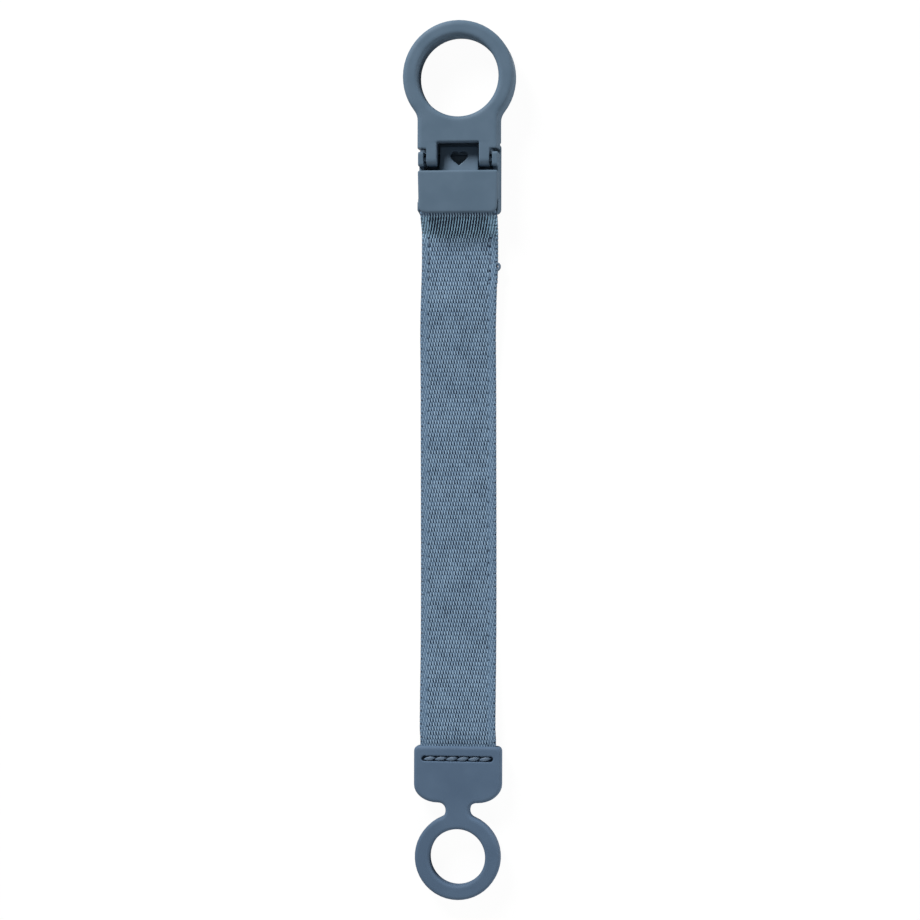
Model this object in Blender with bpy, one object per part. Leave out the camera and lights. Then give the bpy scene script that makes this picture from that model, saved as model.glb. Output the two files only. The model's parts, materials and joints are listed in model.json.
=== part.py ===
"""Soother holder clip: a ring lever hinged on a two-part clip, a sewn strap and a silicone loop.

The part lies on its back. X runs across the strap, Y along it towards the ring and Z out of the front.
"""

import math

import bmesh
import bpy
from mathutils import Vector

MM = 0.001

# Overall sizes
OVERALL_LENGTH = 220.0 * MM
RING_DIAMETER = 28.0 * MM
RIBBON_WIDTH = 19.0 * MM
RIBBON_THICKNESS = 1.05 * MM

# Ring lever
RING_WALL = 3.95 * MM
RING_ROUNDING = 1.2 * MM
NECK_FILLET = 4.0 * MM
NECK_LENGTH = 10.65 * MM
WINDOW_ABOVE_HINGE = 4.3 * MM
LEG_WIDTH = 2.6 * MM
LEG_SIDE_GAP = 0.7 * MM
LEG_SETBACK = 0.03 * MM
KNUCKLE_RADIUS = 1.85 * MM
LOBE_ABOVE_HINGE = 2.6 * MM
LEVER_RELIEF = 3.1 * MM

# Hinge
PIN_RADIUS = 0.7 * MM
PIN_BITE = 1.7 * MM
PIN_CLEARANCE = 0.1 * MM

# Clip back
BACK_THICKNESS = 1.6 * MM
JAW_THICKNESS = 2.4 * MM
JAW_LENGTH = 2.6 * MM
JAW_GAP = 0.3 * MM
BACK_CORNER = 1.2 * MM
BACK_LEDGE = 0.05 * MM
BACK_TO_STRAP = 0.85 * MM
EAR_REACH = 1.8 * MM
EAR_CORNER = 0.6 * MM
EAR_THICKNESS = 1.4 * MM
EAR_INSET = 0.25 * MM
PAD_LENGTH = 0.8 * MM
PAD_RISE = 1.5 * MM
PAD_TO_LEG = 0.2 * MM
STRAP_CHEEK_THICKNESS = 0.55 * MM
BAR_RADIUS = 0.85 * MM
BAR_WALL = 0.2 * MM
BAR_ABOVE_EDGE = 0.55 * MM
FOOT_CHAMFER_RISE = 1.2 * MM

# Front plate
PLATE_INSET = 0.2 * MM
PLATE_TAPER = 0.2 * MM
PLATE_LENGTH = 10.6 * MM
PLATE_BELOW_HINGE = 2.85 * MM
PLATE_THICKNESS = 1.6 * MM
PLATE_SKIN = 0.75 * MM
PLATE_CORNER = 1.7 * MM
PLATE_TOP_CORNER = 0.45 * MM
PLATE_ROUNDING = 0.45 * MM
PLATE_BOSS_DEPTH = 1.4 * MM
TONGUE_SIDE_GAP = 0.4 * MM
TONGUE_THICKNESS = 0.9 * MM
TONGUE_TIP_ABOVE_HINGE = 3.3 * MM
TONGUE_ROOT_DROP = 1.0 * MM
TONGUE_DROP = 2.7 * MM
HEART_WIDTH = 4.3 * MM
HEART_HEIGHT = 3.7 * MM
HEART_ABOVE_HINGE = 0.35 * MM
HEART_STEPS = 40

# Strap
RIBBON_SIDE_CLEARANCE = 0.15 * MM
RIBBON_TURN_CLEARANCE = 0.15 * MM
RIBBON_LAYER_GAP = 0.15 * MM
RIBBON_TAIL_LIFT = 0.55 * MM
RIBBON_TAIL_LENGTH = 17.9 * MM
RIBBON_SLOPE_LENGTH = 5.9 * MM
RIBBON_DROP_LENGTH = 30.0 * MM
SEAM_THREAD_RADIUS = 0.2 * MM
SEAM_THREAD_GAP = 0.1 * MM
SEAM_FROM_EDGE = 1.8 * MM
SEAM_HOLES = 6
SEAM_PITCH = 2.1 * MM
SEAM_START = 0.6 * MM

# Silicone loop
LOOP_DIAMETER = 21.5 * MM
LOOP_BORE = 14.0 * MM
LOOP_THICKNESS = 4.4 * MM
LOOP_ROUNDING = 0.8 * MM
LOOP_NECK_WIDTH = 6.0 * MM
LOOP_NECK_FILLET = 1.75 * MM
TAB_WALL = 1.25 * MM
TAB_LENGTH = 14.2 * MM
TAB_TOP_CORNER = 1.2 * MM
TAB_BOTTOM_SWEEP = 6.0 * MM
TAB_BOTTOM_RISE = 4.5 * MM
TAB_TO_LOOP = 2.85 * MM
POCKET_DEPTH = 8.5 * MM
POCKET_CLEARANCE = 0.25 * MM
GROOVE_FROM_SIDE = 1.9 * MM
GROOVE_HEIGHT = 1.4 * MM
GROOVE_DEPTH = 0.7 * MM
GROOVE_BELOW_TOP = 3.1 * MM
STITCHES = 6
STITCH_FROM_END = 0.7 * MM
STITCH_RADIUS = 0.28 * MM
STITCH_SLANT = 0.28 * MM
STITCH_GAP = 0.1 * MM
STITCH_DIP = 0.45 * MM

# Shared clearances and roundness
SEAT_GAP = 0.3 * MM
CUT_MARGIN = 1.0 * MM
OVERLAP = 0.4 * MM
CIRCLE_STEPS = 60
PIN_STEPS = 20

# Sizes and places that follow from the ones above
STRAP_CHEEK_INNER_X = RIBBON_WIDTH / 2 + RIBBON_SIDE_CLEARANCE
STRAP_CHEEK_OUTER_X = STRAP_CHEEK_INNER_X + STRAP_CHEEK_THICKNESS
CLIP_WIDTH = 2 * (STRAP_CHEEK_OUTER_X + BACK_LEDGE)
TURN_OUTER_RADIUS = BAR_RADIUS + RIBBON_TURN_CLEARANCE + RIBBON_THICKNESS
TURN_MIDDLE_RADIUS = TURN_OUTER_RADIUS - RIBBON_THICKNESS / 2
CLIP_DEPTH = BACK_THICKNESS + BACK_TO_STRAP + 2 * TURN_OUTER_RADIUS + SEAT_GAP + PLATE_SKIN
RING_BORE = RING_DIAMETER - 2 * RING_WALL
RING_Y = OVERALL_LENGTH / 2 - RING_DIAMETER / 2
HINGE_Y = RING_Y - RING_BORE / 2 - NECK_LENGTH
HINGE_Z = CLIP_DEPTH - LEG_SETBACK - KNUCKLE_RADIUS
WINDOW_Y = HINGE_Y + WINDOW_ABOVE_HINGE
JAW_Y = WINDOW_Y - JAW_GAP
EAR_OUTER_X = CLIP_WIDTH / 2 - EAR_INSET
EAR_INNER_X = EAR_OUTER_X - EAR_THICKNESS
LEG_OUTER_X = EAR_INNER_X - LEG_SIDE_GAP
LEG_INNER_X = LEG_OUTER_X - LEG_WIDTH
PLATE_WIDTH = CLIP_WIDTH - 2 * PLATE_INSET
TONGUE_WIDTH = 2 * (LEG_INNER_X - TONGUE_SIDE_GAP)
PLATE_TOP_Y = HINGE_Y - PLATE_BELOW_HINGE
PLATE_BOTTOM_Y = PLATE_TOP_Y - PLATE_LENGTH
PLATE_UNDERSIDE_Z = CLIP_DEPTH - PLATE_THICKNESS
SKIN_UNDERSIDE_Z = CLIP_DEPTH - PLATE_SKIN
BAR_Y = PLATE_BOTTOM_Y + BAR_ABOVE_EDGE
BAR_Z = SKIN_UNDERSIDE_Z - SEAT_GAP - TURN_OUTER_RADIUS
STRAP_ROOM_Y = BAR_Y + TURN_OUTER_RADIUS + 2 * SEAT_GAP
BACK_BOTTOM_Y = PLATE_BOTTOM_Y
LOOP_Y = -OVERALL_LENGTH / 2 + LOOP_DIAMETER / 2
TAB_BOTTOM_Y = LOOP_Y + LOOP_DIAMETER / 2 + TAB_TO_LOOP
TAB_TOP_Y = TAB_BOTTOM_Y + TAB_LENGTH
TAB_MIDDLE_Z = LOOP_THICKNESS / 2
TAB_WIDTH = RIBBON_WIDTH + 2 * (POCKET_CLEARANCE + TAB_WALL)
GROOVE_LENGTH = TAB_WIDTH - 2 * GROOVE_FROM_SIDE
STITCH_PITCH = (GROOVE_LENGTH - 2 * STITCH_FROM_END) / STITCHES
STITCH_Y = TAB_TOP_Y - GROOVE_BELOW_TOP
POCKET_FLOOR_Y = TAB_TOP_Y - POCKET_DEPTH
TAIL_Z = RIBBON_TAIL_LIFT + RIBBON_THICKNESS / 2
SEWN_Z = TAIL_Z + RIBBON_THICKNESS + RIBBON_LAYER_GAP
SEAM_ROW_SPACING = RIBBON_WIDTH - 2 * SEAM_FROM_EDGE
SEWN_TOP_Y = BAR_Y - RIBBON_SLOPE_LENGTH
TAIL_END_Y = BAR_Y - RIBBON_TAIL_LENGTH
LAID_TOP_Y = TAIL_END_Y - SEAT_GAP - RIBBON_DROP_LENGTH
LAID_BOTTOM_Y = TAB_TOP_Y + SEAT_GAP + RIBBON_DROP_LENGTH

# Colours of the surfaces
PLASTIC = (0.107, 0.159, 0.220)
WEBBING = (0.130, 0.190, 0.265)
SILICONE = (0.083, 0.126, 0.188)
THREAD = (0.105, 0.155, 0.220)


def arc(centre, radius, start, end, steps):
    """Points on an arc from start to end, in degrees."""
    points = []
    for i in range(steps + 1):
        angle = math.radians(start + (end - start) * i / steps)
        points.append((centre[0] + radius * math.cos(angle), centre[1] + radius * math.sin(angle)))
    return points


def mirrored(points):
    """The right-hand half of an outline, followed by its mirror image back to the start."""
    return points + [(-x, y) for x, y in reversed(points)]


def rounded_box(half_width, low, high, low_corner, high_corner, steps=5):
    """A rectangle about X = 0 with its own corner radius at each end."""
    right = arc((half_width - low_corner, low + low_corner), low_corner, -90, 0, steps)
    right += arc((half_width - high_corner, high - high_corner), high_corner, 0, 90, steps)
    return mirrored(right)


def prism(outline, low, high, along="Z"):
    """A closed mesh of an outline pushed along Z (outline in X, Y) or along X (outline in Y, Z)."""
    bm = bmesh.new()
    if along == "Z":
        corners = [Vector((a, b, low)) for a, b in outline]
        push = Vector((0, 0, high - low))
    else:
        corners = [Vector((low, a, b)) for a, b in outline]
        push = Vector((high - low, 0, 0))
    face = bm.faces.new([bm.verts.new(corner) for corner in corners])
    pushed = bmesh.ops.extrude_face_region(bm, geom=[face])
    moved = [item for item in pushed["geom"] if isinstance(item, bmesh.types.BMVert)]
    bmesh.ops.translate(bm, verts=moved, vec=push)
    bmesh.ops.recalc_face_normals(bm, faces=bm.faces)
    return bm


def round_rims(bm, low, high, radius, segments, lowest_y=-1.0):
    """Rounds the edges in the two end planes of a prism along Z, above a given Y."""
    rims = []
    for edge in bm.edges:
        heights = [vert.co.z for vert in edge.verts]
        level = abs(heights[0] - heights[1]) < MM / 1000
        at_end = min(abs(heights[0] - low), abs(heights[0] - high)) < MM / 1000
        above = max(vert.co.y for vert in edge.verts) > lowest_y
        if level and at_end and above:
            rims.append(edge)
    bmesh.ops.bevel(bm, geom=rims, offset=radius, segments=segments, profile=0.5, affect="EDGES")


def turned(profile, centre, steps):
    """A closed body of revolution about a line along Z, from its (radius, height) profile."""
    bm = bmesh.new()
    rings = []
    for radius, height in profile:
        ring = []
        for i in range(steps):
            angle = 2 * math.pi * i / steps
            x = centre[0] + radius * math.cos(angle)
            y = centre[1] + radius * math.sin(angle)
            ring.append(bm.verts.new((x, y, height)))
        rings.append(ring)
    for lower, upper in zip(rings, rings[1:]):
        for i in range(steps):
            j = (i + 1) % steps
            bm.faces.new((lower[i], lower[j], upper[j], upper[i]))
    bm.faces.new(list(reversed(rings[0])))
    bm.faces.new(rings[-1])
    bmesh.ops.recalc_face_normals(bm, faces=bm.faces)
    return bm


def bore_cutter(radius, rounding, depth, steps=4):
    """Profile of a bore whose two mouths are rounded outwards."""
    flare = radius + rounding
    profile = [(flare, -CUT_MARGIN), (flare, 0.0)]
    for i in range(1, steps + 1):
        angle = math.radians(90 * i / steps)
        profile.append((flare - rounding * math.sin(angle), rounding - rounding * math.cos(angle)))
    profile += [(r, depth - z) for r, z in reversed(profile)]
    return profile


def rod(centre, radius, low, high, steps):
    """A round rod along X, its centre given in Y and Z."""
    return prism(arc(centre, radius, 0, 360 - 360 / steps, steps - 1), low, high, along="X")


def surface(name, colour, roughness):
    """A plain surface of one colour."""
    material = bpy.data.materials.new(name)
    material.use_nodes = True
    shader = material.node_tree.nodes["Principled BSDF"]
    shader.inputs["Base Color"].default_value = (*colour, 1.0)
    shader.inputs["Roughness"].default_value = roughness
    shader.inputs["Metallic"].default_value = 0.0
    return material


def add_object(name, bm, material=None, pivot=(0, 0, 0), parent=None):
    """Makes an object of a mesh drawn in the part's frame, with its origin on its pivot."""
    bmesh.ops.translate(bm, verts=bm.verts, vec=-Vector(pivot))
    mesh = bpy.data.meshes.new(name)
    bm.to_mesh(mesh)
    bm.free()
    mesh.shade_smooth()
    mesh.set_sharp_from_angle(angle=math.radians(35))
    ob = bpy.data.objects.new(name, mesh)
    bpy.context.scene.collection.objects.link(ob)
    if material:
        mesh.materials.append(material)
    place(ob, pivot, parent)
    return ob


def place(ob, pivot, parent):
    """Puts an object's origin on its pivot, under an empty if it has one."""
    if parent:
        ob.parent = parent
        ob.location = Vector(pivot) - parent.location
    else:
        ob.location = pivot


def combine(ob, bm, operation, label):
    """Joins a mesh to an object or cuts it out; the tool stays with the object as a guide."""
    pivot = ob.location + ob.parent.location if ob.parent else ob.location
    bmesh.ops.translate(bm, verts=bm.verts, vec=-pivot)
    tool = add_object(f"{ob.name}_{label}", bm)
    tool.parent = ob
    tool.hide_render = True
    tool.display_type = "WIRE"
    step = ob.modifiers.new(label, "BOOLEAN")
    step.operation = operation
    step.solver = "EXACT"
    step.object = tool


def axis_empty(name, y, z):
    """An empty on a joint's axis."""
    empty = bpy.data.objects.new(name, None)
    empty.location = (0, y, z)
    bpy.context.scene.collection.objects.link(empty)
    return empty


def thread(name, path, radius, material, pivot, parent):
    """A thread as a round tube along a path drawn in the part's frame."""
    curve = bpy.data.curves.new(name, "CURVE")
    curve.dimensions = "3D"
    curve.bevel_depth = radius
    curve.bevel_resolution = 1
    curve.use_fill_caps = True
    line = curve.splines.new("POLY")
    line.points.add(len(path) - 1)
    for point, spot in zip(line.points, path):
        point.co = (*(Vector(spot) - Vector(pivot)), 1.0)
    ob = bpy.data.objects.new(name, curve)
    bpy.context.scene.collection.objects.link(ob)
    curve.materials.append(material)
    place(ob, pivot, parent)
    return ob


# Ring lever: ring, neck, side lobes and two hinge legs
def lever_outline():
    """Ring and neck seen from the front, down to the window and the side lobes."""
    radius = RING_DIAMETER / 2
    half = CLIP_WIDTH / 2
    fillet_x = half + NECK_FILLET
    fillet_drop = math.sqrt((radius + NECK_FILLET) ** 2 - fillet_x**2)
    blend = math.degrees(math.atan2(fillet_drop, fillet_x))
    lobe_y = HINGE_Y + LOBE_ABOVE_HINGE
    right = [(0.0, WINDOW_Y), (LEG_OUTER_X, WINDOW_Y), (LEG_OUTER_X, lobe_y), (half, lobe_y)]
    right += arc((fillet_x, RING_Y - fillet_drop), NECK_FILLET, 180, 180 - blend, 8)
    right += arc((0.0, RING_Y), radius, -blend, 90, CIRCLE_STEPS // 3)[1:]
    return right + [(-x, y) for x, y in reversed(right[1:-1])]


def leg_profile():
    """A leg from the side, with its round knuckle about the hinge axis."""
    top = WINDOW_Y + OVERLAP
    low, high = HINGE_Z - KNUCKLE_RADIUS, HINGE_Z + KNUCKLE_RADIUS
    return [(top, high)] + arc((HINGE_Y, HINGE_Z), KNUCKLE_RADIUS, 90, 270, 12) + [(top, low)]


def ring_lever(material, pivot, parent):
    """One moulding; its underside is relieved so that it clears the clip back."""
    bm = prism(lever_outline(), 0.0, CLIP_DEPTH)
    round_rims(bm, 0.0, CLIP_DEPTH, RING_ROUNDING, 3, lowest_y=WINDOW_Y + RING_ROUNDING)
    ob = add_object("ring_lever", bm, material, pivot, parent)
    bore = bore_cutter(RING_BORE / 2, RING_ROUNDING, CLIP_DEPTH)
    combine(ob, turned(bore, (0.0, RING_Y), CIRCLE_STEPS), "DIFFERENCE", "bore")
    relief = [(BACK_BOTTOM_Y, -CUT_MARGIN), (WINDOW_Y, -CUT_MARGIN)]
    relief += [(WINDOW_Y, LEVER_RELIEF), (BACK_BOTTOM_Y, LEVER_RELIEF)]
    combine(ob, prism(relief, -CLIP_WIDTH, CLIP_WIDTH, along="X"), "DIFFERENCE", "relief")
    for side, label in ((-1, "left"), (1, "right")):
        ends = sorted((side * LEG_INNER_X, side * LEG_OUTER_X))
        combine(ob, prism(leg_profile(), *ends, along="X"), "UNION", f"{label}_leg")
    for side, label in ((-1, "left"), (1, "right")):
        depth = PIN_BITE + PIN_CLEARANCE
        ends = sorted((side * (LEG_OUTER_X - depth), side * (LEG_OUTER_X + CUT_MARGIN / 2)))
        hole = rod((HINGE_Y, HINGE_Z), PIN_RADIUS + PIN_CLEARANCE, *ends, PIN_STEPS)
        combine(ob, hole, "DIFFERENCE", f"{label}_pin_hole")
    return ob


# Clip back: rear plate, cheeks, ears with their spacer pads, and the bar for the strap
def cheek_profile():
    """A cheek and its ear from the side, standing on the rear plate."""
    foot = BACK_THICKNESS - OVERLAP
    head = PLATE_UNDERSIDE_Z - SEAT_GAP
    ear_low, ear_high = HINGE_Y - EAR_REACH, HINGE_Y + EAR_REACH
    corner_z = HINGE_Z + EAR_REACH - EAR_CORNER
    valley = head - BACK_THICKNESS / 2
    profile = [(STRAP_ROOM_Y, foot), (ear_high, foot)]
    profile += arc((ear_high - EAR_CORNER, corner_z), EAR_CORNER, 0, 90, 4)
    profile += arc((ear_low + EAR_CORNER, corner_z), EAR_CORNER, 90, 180, 4)
    profile += [(ear_low, valley), (PLATE_TOP_Y - SEAT_GAP, valley), (PLATE_TOP_Y - SEAT_GAP, head)]
    return profile + [(STRAP_ROOM_Y, head)]


def strap_cheek_profile():
    """A thin cheek beside the strap from the side, with its end rounded about the bar."""
    foot = BACK_THICKNESS - OVERLAP
    shoulder = PLATE_UNDERSIDE_Z - 2 * SEAT_GAP
    head = SKIN_UNDERSIDE_Z - SEAT_GAP
    profile = [(BACK_BOTTOM_Y + BACK_CORNER, foot), (STRAP_ROOM_Y + OVERLAP, foot)]
    profile += [(STRAP_ROOM_Y + OVERLAP, shoulder), (STRAP_ROOM_Y - SEAT_GAP, shoulder)]
    profile += [(STRAP_ROOM_Y - SEAT_GAP, head), (BAR_Y, head)]
    return profile + arc((BAR_Y, BAR_Z), BAR_RADIUS + BAR_WALL, 120, 240, 6)


def pad_profile():
    """A spacer pad on the inner face of an ear, at its foot, from the side."""
    low_y = HINGE_Y - EAR_REACH + PAD_TO_LEG
    high_z = HINGE_Z + EAR_REACH / 3
    corners = [(low_y, high_z - PAD_RISE), (low_y + PAD_LENGTH, high_z - PAD_RISE)]
    return corners + [(low_y + PAD_LENGTH, high_z), (low_y, high_z)]


def foot_chamfer(side):
    """What is cut off a lower outer corner of the clip, from the front."""
    foot_y = BAR_Y - BAR_RADIUS - BAR_WALL
    slope = FOOT_CHAMFER_RISE / STRAP_CHEEK_THICKNESS
    outer_x = CLIP_WIDTH / 2 + CUT_MARGIN
    outer_y = foot_y + slope * (outer_x - STRAP_CHEEK_INNER_X)
    corners = [(STRAP_CHEEK_INNER_X, foot_y - CUT_MARGIN), (outer_x, foot_y - CUT_MARGIN)]
    corners += [(outer_x, outer_y), (STRAP_CHEEK_INNER_X, foot_y)]
    return [(side * x, y) for x, y in (corners if side > 0 else reversed(corners))]


def clip_back(material):
    """Carries the hinge, the strap's bar and the front plate."""
    half = CLIP_WIDTH / 2
    plate = rounded_box(half, BACK_BOTTOM_Y, JAW_Y, BACK_CORNER, BACK_CORNER / 2)
    ob = add_object("clip_back", prism(plate, 0.0, BACK_THICKNESS), material)
    jaw_low = JAW_Y - JAW_LENGTH
    jaw = rounded_box(LEG_OUTER_X, jaw_low, JAW_Y, JAW_GAP, JAW_GAP)
    combine(ob, prism(jaw, BACK_THICKNESS - OVERLAP, JAW_THICKNESS), "UNION", "jaw")
    for side, label in ((-1, "left"), (1, "right")):
        ends = sorted((side * EAR_INNER_X, side * EAR_OUTER_X))
        combine(ob, prism(cheek_profile(), *ends, along="X"), "UNION", f"{label}_cheek")
        ends = sorted((side * STRAP_CHEEK_INNER_X, side * STRAP_CHEEK_OUTER_X))
        combine(ob, prism(strap_cheek_profile(), *ends, along="X"), "UNION", f"{label}_strap_cheek")
        ends = sorted((side * (LEG_OUTER_X + PAD_TO_LEG), side * (EAR_INNER_X + OVERLAP)))
        combine(ob, prism(pad_profile(), *ends, along="X"), "UNION", f"{label}_pad")
    reach = STRAP_CHEEK_OUTER_X - STRAP_CHEEK_THICKNESS / 3
    combine(ob, rod((BAR_Y, BAR_Z), BAR_RADIUS, -reach, reach, PIN_STEPS), "UNION", "bar")
    for side, label in ((-1, "left"), (1, "right")):
        ends = sorted((side * (EAR_INNER_X - CUT_MARGIN / 2), side * (EAR_OUTER_X + CUT_MARGIN)))
        hole = rod((HINGE_Y, HINGE_Z), PIN_RADIUS + PIN_CLEARANCE, *ends, PIN_STEPS)
        combine(ob, hole, "DIFFERENCE", f"{label}_pin_hole")
        chamfer = prism(foot_chamfer(side), -CUT_MARGIN, CLIP_DEPTH + CUT_MARGIN)
        combine(ob, chamfer, "DIFFERENCE", f"{label}_foot_chamfer")
    return ob


def hinge_pin(side, label, material):
    """A pivot pin, flush with the ear and blind in the leg."""
    ends = sorted((side * (LEG_OUTER_X - PIN_BITE), side * EAR_OUTER_X))
    pin = rod((HINGE_Y, HINGE_Z), PIN_RADIUS, *ends, PIN_STEPS)
    return add_object(f"hinge_pin_{label}", pin, material)


# Front plate: plain cover, locating boss and the pierced tongue
def plate_outline():
    """The cover from the front: slightly narrower at its foot."""
    top, foot = PLATE_WIDTH / 2, PLATE_WIDTH / 2 - PLATE_TAPER
    small = PLATE_TOP_CORNER
    right = arc((foot - PLATE_CORNER, PLATE_BOTTOM_Y + PLATE_CORNER), PLATE_CORNER, -90, 0, 5)
    right += arc((top - small, PLATE_TOP_Y - small), small, 0, 90, 4)
    return mirrored(right)


def heart_rise(turn):
    """How high the edge of a heart stands at a turn, in a scale of its own."""
    return 13 * math.cos(turn) - 4 * math.cos(2 * turn) - 2 * math.cos(3 * turn) - math.cos(4 * turn) / 2


def heart_outline(centre_y):
    """Two round lobes over a point, with full sides, from the point round by the right."""
    turns = [math.pi - 2 * math.pi * i / HEART_STEPS for i in range(HEART_STEPS)]
    rises = [heart_rise(turn) for turn in turns]
    low, high = min(rises), max(rises)
    scale = HEART_HEIGHT / (high - low)
    heights = [centre_y - HEART_HEIGHT / 2 + (rise - low) * scale for rise in rises]
    return [(math.sin(turn) ** 3 * HEART_WIDTH / 2, y) for turn, y in zip(turns, heights)]


def tongue_profile():
    """The tongue from the side, sloping back from the boss behind the cover's top edge."""
    start = Vector((PLATE_TOP_Y - 3 * OVERLAP, PLATE_UNDERSIDE_Z - TONGUE_ROOT_DROP))
    tip = Vector((HINGE_Y + TONGUE_TIP_ABOVE_HINGE, PLATE_UNDERSIDE_Z - TONGUE_DROP))
    run = (tip - start).normalized()
    across = Vector((-run.y, run.x)) * TONGUE_THICKNESS / 2
    nose = tip + run * TONGUE_THICKNESS / 4
    corners = [start - across, tip - across, nose, tip + across, start + across]
    return [tuple(corner) for corner in corners]


def front_plate(material):
    """One moulding; its skin is thin over the strap and its boss fits between the cheeks."""
    bm = prism(plate_outline(), PLATE_UNDERSIDE_Z, CLIP_DEPTH)
    round_rims(bm, CLIP_DEPTH, CLIP_DEPTH, PLATE_ROUNDING, 3)
    ob = add_object("front_plate", bm, material)
    room = rounded_box(PLATE_WIDTH, PLATE_BOTTOM_Y - CUT_MARGIN, STRAP_ROOM_Y, SEAT_GAP, SEAT_GAP)
    low = PLATE_UNDERSIDE_Z - CUT_MARGIN
    combine(ob, prism(room, low, SKIN_UNDERSIDE_Z), "DIFFERENCE", "strap_room")
    boss_half = EAR_INNER_X - SEAT_GAP
    boss = rounded_box(boss_half, STRAP_ROOM_Y + SEAT_GAP, PLATE_TOP_Y - SEAT_GAP, SEAT_GAP, SEAT_GAP)
    low = PLATE_UNDERSIDE_Z - PLATE_BOSS_DEPTH
    combine(ob, prism(boss, low, PLATE_UNDERSIDE_Z + OVERLAP), "UNION", "boss")
    half = TONGUE_WIDTH / 2
    combine(ob, prism(tongue_profile(), -half, half, along="X"), "UNION", "tongue")
    heart = prism(heart_outline(HINGE_Y + HEART_ABOVE_HINGE), 0.0, CLIP_DEPTH + CUT_MARGIN)
    combine(ob, heart, "DIFFERENCE", "heart")
    return ob


# Strap: ribbon, seams and silicone loop
def eased(start, end, steps):
    """Points on a smooth step from one level run to another, without its first point."""
    points = []
    for i in range(1, steps + 1):
        share = i / steps
        rise = share * share * (3 - 2 * share)
        points.append((start[0] + (end[0] - start[0]) * share, start[1] + (end[1] - start[1]) * rise))
    return points


def ribbon_route():
    """The middle of the ribbon from its sewn tail, round the bar and down to the silicone pocket."""
    laid_z = RIBBON_THICKNESS / 2
    route = [(TAIL_END_Y, TAIL_Z), (SEWN_TOP_Y, TAIL_Z)]
    route += eased(route[-1], (BAR_Y, BAR_Z - TURN_MIDDLE_RADIUS), 8)
    route += arc((BAR_Y, BAR_Z), TURN_MIDDLE_RADIUS, -90, 90, 14)[1:]
    route += eased(route[-1], (SEWN_TOP_Y, SEWN_Z), 10)
    route.append((TAIL_END_Y - SEAT_GAP, SEWN_Z))
    route += eased(route[-1], (LAID_TOP_Y, laid_z), 8)
    route.append((LAID_BOTTOM_Y, laid_z))
    route += eased(route[-1], (TAB_TOP_Y + SEAT_GAP, TAB_MIDDLE_Z), 8)
    route.append((POCKET_FLOOR_Y + SEAT_GAP, TAB_MIDDLE_Z))
    return route


def seam_hole_places():
    """Where each seam row goes through the two layers, along Y."""
    return [SEWN_TOP_Y - SEAM_START - SEAM_PITCH * i for i in range(SEAM_HOLES)]


def stitch_places():
    """Where the lower seam goes through the tab, along X."""
    return [STITCH_PITCH * (i - STITCHES / 2) for i in range(STITCHES + 1)]


def stitch_slots(low, high):
    """The slots of the lower seam, as one tool of separate bodies."""
    half_x = STITCH_RADIUS + STITCH_GAP
    half_y = STITCH_SLANT + STITCH_RADIUS + STITCH_GAP
    tool = bmesh.new()
    for x in stitch_places():
        corners = [(x - half_x, STITCH_Y - half_y), (x + half_x, STITCH_Y - half_y)]
        corners += [(x + half_x, STITCH_Y + half_y), (x - half_x, STITCH_Y + half_y)]
        add_body(tool, prism(corners, low, high))
    return tool


def seam_holes(low, high):
    """The holes of both upper seam rows, as one tool of separate bodies."""
    radius = SEAM_THREAD_RADIUS + SEAM_THREAD_GAP
    tool = bmesh.new()
    for side in (-1, 1):
        for y in seam_hole_places():
            centre = (side * SEAM_ROW_SPACING / 2, y)
            add_body(tool, turned([(radius, low), (radius, high)], centre, 8))
    return tool


def add_body(target, body):
    """Copies a mesh into another one and frees it."""
    copies = {vert: target.verts.new(vert.co) for vert in body.verts}
    for face in body.faces:
        target.faces.new([copies[vert] for vert in face.verts])
    body.free()


def ribbon(material, pivot, parent):
    """A flat section swept along the route, pierced where the threads pass."""
    route = [Vector(point) for point in ribbon_route()]
    bm = bmesh.new()
    rings = []
    for i, spot in enumerate(route):
        ahead = route[min(i + 1, len(route) - 1)]
        behind = route[max(i - 1, 0)]
        run = (ahead - behind).normalized()
        across = Vector((-run.y, run.x)) * RIBBON_THICKNESS / 2
        ring = []
        for side, face in ((-1, -1), (1, -1), (1, 1), (-1, 1)):
            point = spot + across * face
            ring.append(bm.verts.new((side * RIBBON_WIDTH / 2, point.x, point.y)))
        rings.append(ring)
    for first, second in zip(rings, rings[1:]):
        for i in range(4):
            j = (i + 1) % 4
            bm.faces.new((first[i], first[j], second[j], second[i]))
    bm.faces.new(list(reversed(rings[0])))
    bm.faces.new(rings[-1])
    bmesh.ops.recalc_face_normals(bm, faces=bm.faces)
    ob = add_object("ribbon", bm, material, pivot, parent)
    combine(ob, seam_holes(-CUT_MARGIN, SEWN_Z + CUT_MARGIN), "DIFFERENCE", "seam_holes")
    combine(ob, stitch_slots(-CUT_MARGIN, LOOP_THICKNESS + CUT_MARGIN), "DIFFERENCE", "stitch_slots")
    return ob


def upper_seam(side, label, material, pivot, parent):
    """A seam row: the thread goes over and under through both layers."""
    x = side * SEAM_ROW_SPACING / 2
    away = SEAM_THREAD_RADIUS + SEAM_THREAD_GAP
    levels = (SEWN_Z + RIBBON_THICKNESS / 2 + away, TAIL_Z - RIBBON_THICKNESS / 2 - away)
    turn = SEAM_THREAD_RADIUS
    path = []
    for i, y in enumerate(seam_hole_places()):
        enter, leave = levels if i % 2 else levels[::-1]
        step = math.copysign(turn, leave - enter)
        if i:
            path += [(x, y + turn, enter)]
        path += [(x, y, enter + step), (x, y, leave - step)]
        if i < SEAM_HOLES - 1:
            path += [(x, y - turn, leave)]
    return thread(f"upper_seam_{label}", path, SEAM_THREAD_RADIUS, material, pivot, parent)


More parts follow.
